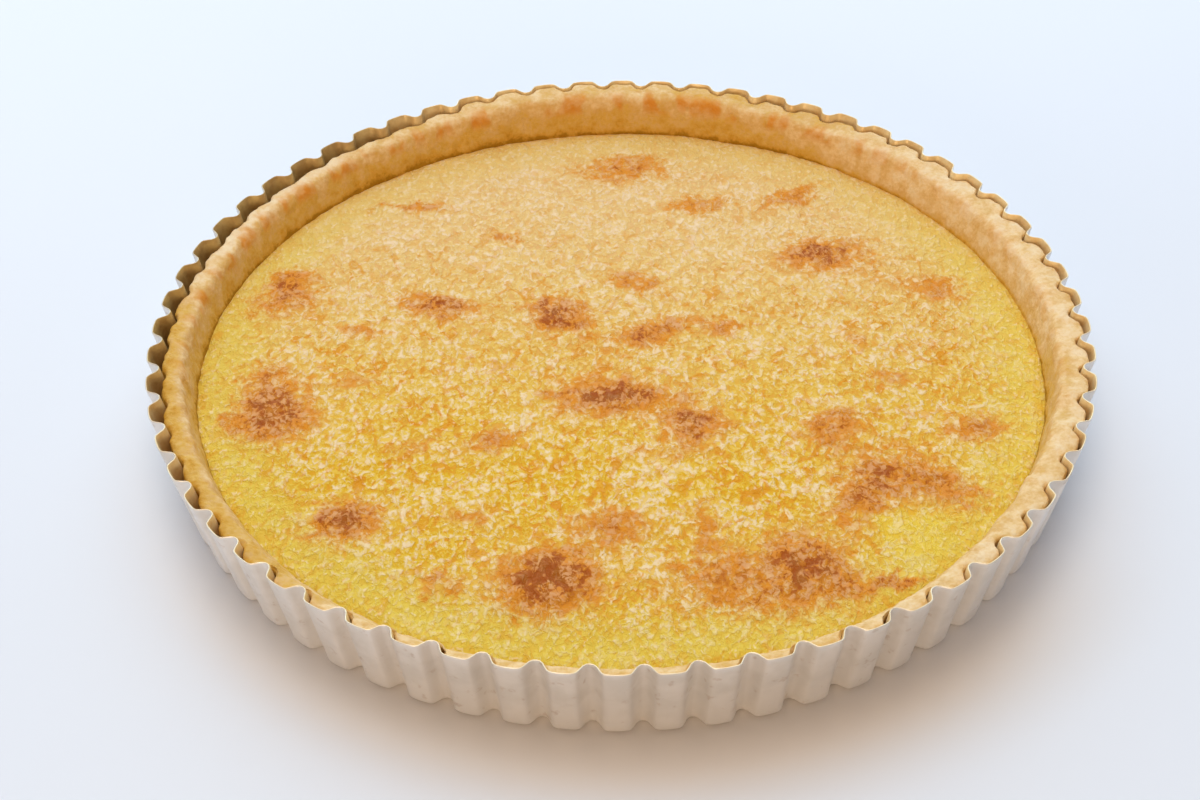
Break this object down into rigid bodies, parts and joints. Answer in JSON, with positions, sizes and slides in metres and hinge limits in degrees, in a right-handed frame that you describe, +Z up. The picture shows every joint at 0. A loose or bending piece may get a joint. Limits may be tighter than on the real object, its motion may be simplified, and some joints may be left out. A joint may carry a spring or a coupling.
{
  "type": "lemon tart",
  "caption": "Open lemon tart with a browned, set filling in a shortcrust case, still in the fluted round tin it was baked in.",
  "frame": {"origin": "middle of the tin's flat underside", "axes": "+Z up out of the tin; -Y is the front, where the pastry lip is thinnest; +X to the right seen from the front"},
  "size_m": [0.28, 0.28, 0.0285],
  "materials": {
    "tinplate": "satin, browned by baking",
    "pastry": "dry, crumbly, golden with browned edges",
    "filling": "grainy satin with browned blisters"
  },
  "bodies": {
    "root": {"tart_tin": "tinplate", "pastry_case": "pastry", "lemon_filling": "filling"}
  },
  "joints": []
}
